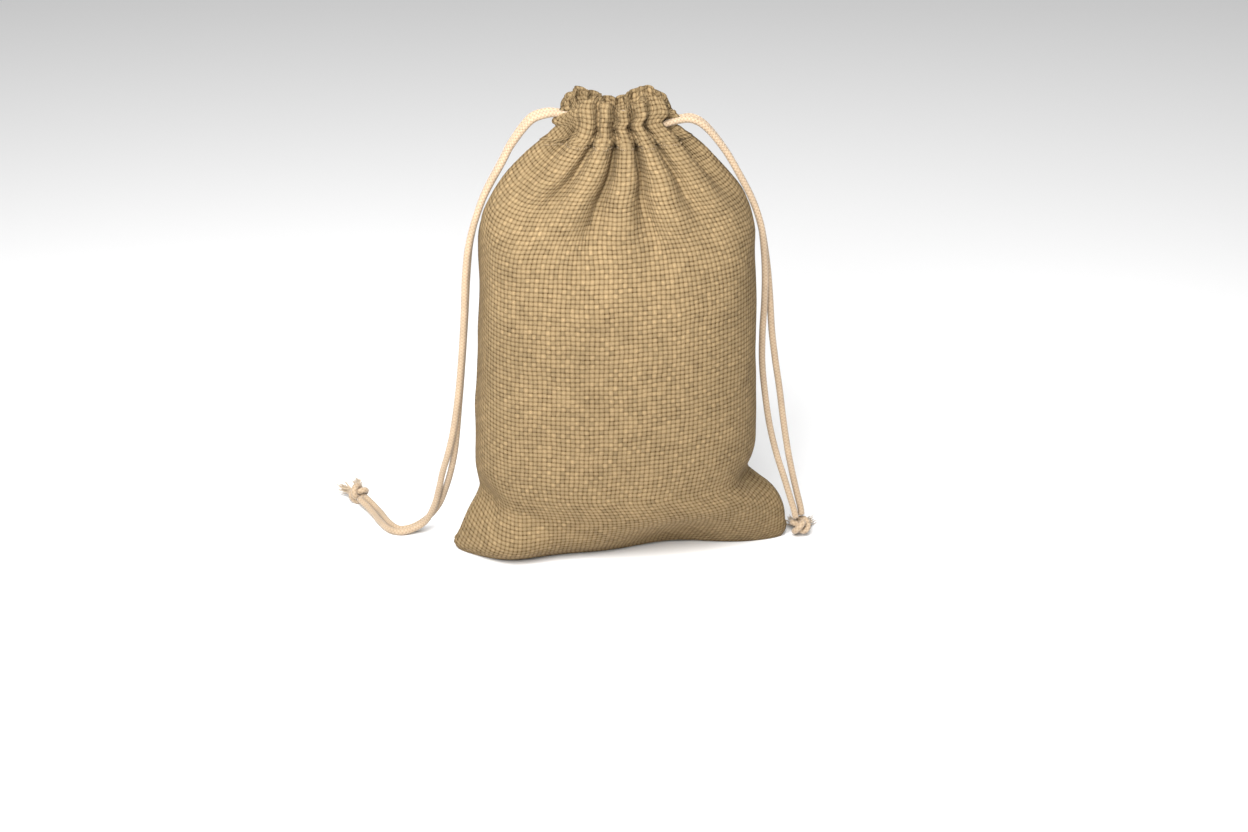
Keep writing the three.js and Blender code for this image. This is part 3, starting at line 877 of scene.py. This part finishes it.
class POUCH_OT_stage(bpy.types.Operator):
    """Set the pale floor, the soft lights and the camera"""

    bl_idname = "pouch.stage"
    bl_label = "Stage"

    def execute(self, context):
        settings = context.scene.pouch_stage
        context.scene.view_settings.view_transform = "Standard"
        self.floor(settings)
        self.lights()
        self.sky(context.scene)
        self.camera(context.scene, settings)
        return {"FINISHED"}

    def floor(self, settings):
        """A wide flat sheet of pale paper."""
        reach = 6.0
        mesh = bpy.data.meshes.new("floor")
        mesh.from_pydata(
            [(-reach, -reach, 0), (reach, -reach, 0), (reach, reach, 0), (-reach, reach, 0)],
            [], [(0, 1, 2, 3)])
        floor = placed("floor", mesh)
        paper = Nodes("floor_paper")
        floor.data.materials.append(paper.finish((*settings.floor, 1.0), 0.9, specular=0.1))

    def lights(self):
        """Each light: name, place, size in metres, power in watts; all look at the pouch."""
        plan = (
            ("softbox_top", (-0.2, -0.15, 1.35), 1.4, 10.0),
            ("softbox_near", (-0.10, -0.33, 0.38), 0.30, 5.0),
            ("softbox_left", (-1.1, -0.2, 0.9), 0.9, 2.8),
            ("softbox_right", (1.1, 0.05, 0.9), 0.9, 2.6),
        )
        lit = Vector((0, 0, 0.06))
        for name, place, size, power in plan:
            data = bpy.data.lights.new(name, "AREA")
            data.size = size
            data.energy = power
            light = placed(name, data)
            light.location = place
            light.rotation_euler = (lit - Vector(place)).to_track_quat("-Z", "Y").to_euler()

    def sky(self, scene):
        """A white sky. Its strength is what it lights with, plus more where the camera sees it."""
        lights_with = 0.34
        more_when_seen = 0.62
        world = bpy.data.worlds.new("studio")
        world.use_nodes = True
        tree = world.node_tree
        background = tree.nodes["Background"]
        background.inputs["Color"].default_value = (1, 1, 1, 1)
        seen = tree.nodes.new("ShaderNodeLightPath")
        strength = tree.nodes.new("ShaderNodeMath")
        strength.operation = "MULTIPLY_ADD"
        strength.inputs[1].default_value = more_when_seen
        strength.inputs[2].default_value = lights_with
        tree.links.new(seen.outputs["Is Camera Ray"], strength.inputs[0])
        tree.links.new(strength.outputs[0], background.inputs["Strength"])
        scene.world = world

    def camera(self, scene, settings):
        """Stands off from the aim along the direction given by azimuth and elevation."""
        data = bpy.data.cameras.new("camera")
        data.sensor_width = 36.0
        data.lens = settings.lens
        camera = placed("camera", data)
        flat = math.cos(settings.elevation)
        away = Vector((
            -math.sin(settings.azimuth) * flat,
            -math.cos(settings.azimuth) * flat,
            math.sin(settings.elevation)))
        camera.location = Vector(settings.aim) + away * settings.distance
        camera.rotation_euler = (-away).to_track_quat("-Z", "Y").to_euler()
        scene.camera = camera


class POUCH_OT_cords(bpy.types.Operator):
    """Lay the two drawstrings, inside the hem and down both sides"""

    bl_idname = "pouch.cords"
    bl_label = "Drawstrings"

    def execute(self, context):
        settings = context.scene.pouch_cord
        material = braid(settings, "braided_cord")
        plan = (
            ("left", -1, LEFT_FRONT_ROUTE, LEFT_BACK_ROUTE),
            ("right", 1, RIGHT_FRONT_ROUTE, RIGHT_BACK_ROUTE),
        )
        for side, sign, *routes in plan:
            for where, route in zip(("front", "back"), routes):
                self.strand(side, where, sign, np.array(route), settings, material)
            self.loop(side, -sign, settings, material)
        return {"FINISHED"}

    def strand(self, side, where, sign, route, settings, material):
        """From inside the hem out along the lead, over an arch and down the route to the knot."""
        lead = f"{side}_{where}_lead"
        middle = middle_of(lead)
        start = [
            middle * np.array([1, share, 1]) + np.array([-sign * inward, 0, higher]) * MM
            for share, inward, higher in HEM_END]
        falling = 0.5 * (route[0] + route[1]) + np.array([0, 0, -1.3]) * MM
        line = spline([*start, falling, *route[2:]], 0.8 * MM)
        made = tube(f"{side}_{where}_cord", line, settings.diameter / 2)
        made.data.materials.append(material)
        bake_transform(made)
        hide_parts(f"{side}_{where}_lead", f"{side}_{where}_strand")

    def loop(self, side, turn, settings, material):
        """The cord inside the hem: a flat oval inside the gathered sleeve, open at the side where
        its two strands leave, worked out as x = a cos t, y = b sin t."""
        reach = 12.2 * MM
        deep = 3.4 * MM
        lean = -1.3 * MM
        level = middle_of(f"{side}_drawstring_loop")[2] - 2.2 * MM
        t = np.linspace(-2.6, 2.6, 60)
        line = np.stack([turn * reach * np.cos(t) + lean, deep * np.sin(t), 0 * t + level], axis=1)
        made = tube(f"{side}_cord_in_hem", evenly(line, 1.2 * MM), settings.diameter / 2, sides=8)
        made.data.materials.append(material)
        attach(made, "pouch")
        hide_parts(f"{side}_drawstring_loop")


class POUCH_OT_knots(bpy.types.Operator):
    """Tie the overhand knots and fray the ends beyond them"""

    bl_idname = "pouch.knots"
    bl_label = "Knots"

    def execute(self, context):
        settings = context.scene.pouch_cord
        material = braid(settings, "braided_knot")
        fibres = yarn_ends(settings)
        plan = (
            ("left", (-0.42, 0.9, 0.1), (-0.3, 0.9, 0.9)),
            ("right", (0.2, 0.05, -1.0), (0.4, 0.5, 0.6)),
        )
        for side, axis, splay in plan:
            centre = middle_of(f"{side}_knot")
            self.knot(side, centre, np.array(axis), material)
            for where in ("front", "back"):
                self.tip(side, where, centre, np.array(splay) * MM, fibres)
        return {"FINISHED"}

    def knot(self, side, centre, axis, material):
        """A trefoil wound on a small ring: twice round the axis while it winds three times. Its
        radius is r (1 + cos 3t / 2) and its height h sin 3t; it is lifted clear of the floor."""
        radius = 1.95 * MM
        height = 1.6 * MM
        strand = 1.15 * MM
        axis = axis / np.linalg.norm(axis)
        across = np.cross(axis, (0.0, 0.0, 1.0) if abs(axis[2]) < 0.9 else (0.0, 1.0, 0.0))
        across /= np.linalg.norm(across)
        up = np.cross(axis, across)
        t = np.linspace(0, TAU, 97)[:-1]
        ring = radius * (1 + 0.5 * np.cos(3 * t))
        line = centre + across * (ring * np.cos(2 * t))[:, None]
        line = line + up * (ring * np.sin(2 * t))[:, None]
        line = line + axis * (height * np.sin(3 * t))[:, None]
        line = np.vstack([line, line[:1]])
        line[:, 2] += max(0.0, strand + 0.05 * MM - line[:, 2].min())
        made = tube(f"{side}_overhand_knot", line, strand)
        made.data.materials.append(material)
        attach(made, f"{side}_tail")
        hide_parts(f"{side}_knot")

    def tip(self, side, where, centre, splay, material):
        """A tuft of fine fibres that spread from the knot: each runs straight from its root and
        bends aside by its own spread times t^1.5, and none goes below the floor."""
        fibres = 90
        out = middle_of(f"{side}_{where}_tip") - centre
        start = centre + out * 0.45
        end = centre + out * 1.45 + splay
        rng = np.random.default_rng(len(side) * 7 + len(where))
        spread = rng.normal(0, 1.0 * MM, (fibres, 3))
        root = rng.normal(0, 0.45 * MM, (fibres, 3))
        t = np.linspace(0, 1, 6)[None, :, None]
        reach = rng.uniform(0.7, 1.0, (fibres, 1, 1))
        lines = (start + root)[:, None] + (end - start) * t * reach + spread[:, None] * t**1.5
        floor_gap = 0.4 * MM
        lines[..., 2] = np.maximum(lines[..., 2], floor_gap)
        made = thin_tubes(f"{side}_{where}_frayed_end", lines, 0.13 * MM)
        made.data.materials.append(material)
        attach(made, f"{side}_tail")
        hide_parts(f"{side}_{where}_tip")


class POUCH_OT_cloth(bpy.types.Operator):
    """Make the filled, gathered pouch from its one folded strip of cloth"""

    bl_idname = "pouch.cloth"
    bl_label = "Cloth"

    def execute(self, context):
        settings = context.scene.pouch_cloth
        points, cloth_place, around = pouch_surface(settings)
        uv = cloth_uv(points, cloth_place, around, settings.thread_pitch)
        made = grid_object("pouch_cloth", points, uv, fold=True)
        made.data.materials.append(burlap(settings))
        solid = made.modifiers.new("thickness", "SOLIDIFY")
        solid.thickness = settings.thickness
        solid.offset = -1
        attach(made, "pouch")
        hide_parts("bottom_fold", "front_panel", "back_panel", "front_hem", "back_hem")
        return {"FINISHED"}


class POUCH_OT_stitching(bpy.types.Operator):
    """Sew the hem down and sew up the two sides"""

    bl_idname = "pouch.stitching"
    bl_label = "Stitching"

    def execute(self, context):
        settings = context.scene.pouch_cloth
        material = sewing_thread(settings)
        points, cloth_place, around = pouch_surface(settings)
        half = around / 2
        below_hem = BASE_ROWS + BODY_ROWS - 2
        hem = self.row_line(points[below_hem], 0.15 * MM)
        place = np.append(cloth_place[0], around)
        for name, start in (("front", 0.0), ("back", half)):
            lines = dashes(hem, place, start + 5 * MM, start + half - 5 * MM, 3.2 * MM, 2.1 * MM)
            self.thread(f"{name}_hem_thread", lines, material, f"{name}_hem_stitching")
        columns = points.shape[1]
        for name, column in (("left", 0), ("right", columns // 2)):
            wall = points[BASE_ROWS + 1:, column]
            wall = wall[: int(np.argmax(wall[:, 2] > HEM_FOOT - 2 * MM))]
            outwards = np.array([-1.0 if name == "left" else 1.0, 0, 0])
            climb = arc_length(wall)
            line = wall + outwards * 0.12 * MM
            lines = dashes(line, climb, 3 * MM, climb[-1] - 2 * MM, 2.9 * MM, 2.0 * MM)
            self.thread(f"{name}_seam_thread", lines, material, f"{name}_side_seam")
        return {"FINISHED"}

    def row_line(self, ring, off):
        """One row of the cloth as a closed line, set off outwards."""
        out_x, out_y = outward(ring[None, :, 0], ring[None, :, 1])
        ring = ring + off * np.stack([out_x[0], out_y[0], 0 * out_x[0]], axis=-1)
        return np.vstack([ring, ring[:1]])

    def thread(self, name, lines, material, node):
        """Stitches that stand for one CAD node."""
        made = thin_tubes(name, lines, 0.26 * MM)
        made.data.materials.append(material)
        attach(made, "pouch")
        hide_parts(node)


def dashes(line, place, first, last, step, length):
    """Short stretches of a line, each of the given length, one every step."""
    starts = np.arange(first, last - length, step)
    at = starts[:, None] + np.linspace(0, length, 6)[None]
    return np.stack([np.interp(at, place, line[:, axis]) for axis in range(3)], axis=-1)


class POUCH_PT_panel(bpy.types.Panel):
    """The steps that build the pouch, in order"""

    bl_label = "Drawstring pouch"
    bl_idname = "POUCH_PT_panel"
    bl_space_type = "VIEW_3D"
    bl_region_type = "UI"
    bl_category = "Pouch"

    def draw(self, context):
        for operator in OPERATORS:
            self.layout.operator(operator.bl_idname)


SETTINGS = (
    ("pouch_cloth", PouchClothSettings),
    ("pouch_cord", PouchCordSettings),
    ("pouch_stage", PouchStageSettings),
)
OPERATORS = (POUCH_OT_stage, POUCH_OT_knots, POUCH_OT_cords, POUCH_OT_cloth, POUCH_OT_stitching)


def register():
    """Makes the settings, the operators and the panel known."""
    for name, group in SETTINGS:
        bpy.utils.register_class(group)
        setattr(bpy.types.Scene, name, PointerProperty(type=group))
    for operator in OPERATORS:
        bpy.utils.register_class(operator)
    bpy.utils.register_class(POUCH_PT_panel)


def unregister():
    """Takes them away again."""
    bpy.utils.unregister_class(POUCH_PT_panel)
    for operator in reversed(OPERATORS):
        bpy.utils.unregister_class(operator)
    for name, group in reversed(SETTINGS):
        delattr(bpy.types.Scene, name)
        bpy.utils.unregister_class(group)


def main():
    """Builds everything."""
    register()
    bpy.ops.pouch.stage()
    bpy.ops.pouch.knots()
    bpy.ops.pouch.cords()
    bpy.ops.pouch.cloth()
    bpy.ops.pouch.stitching()


if __name__ == "__main__":
    main()
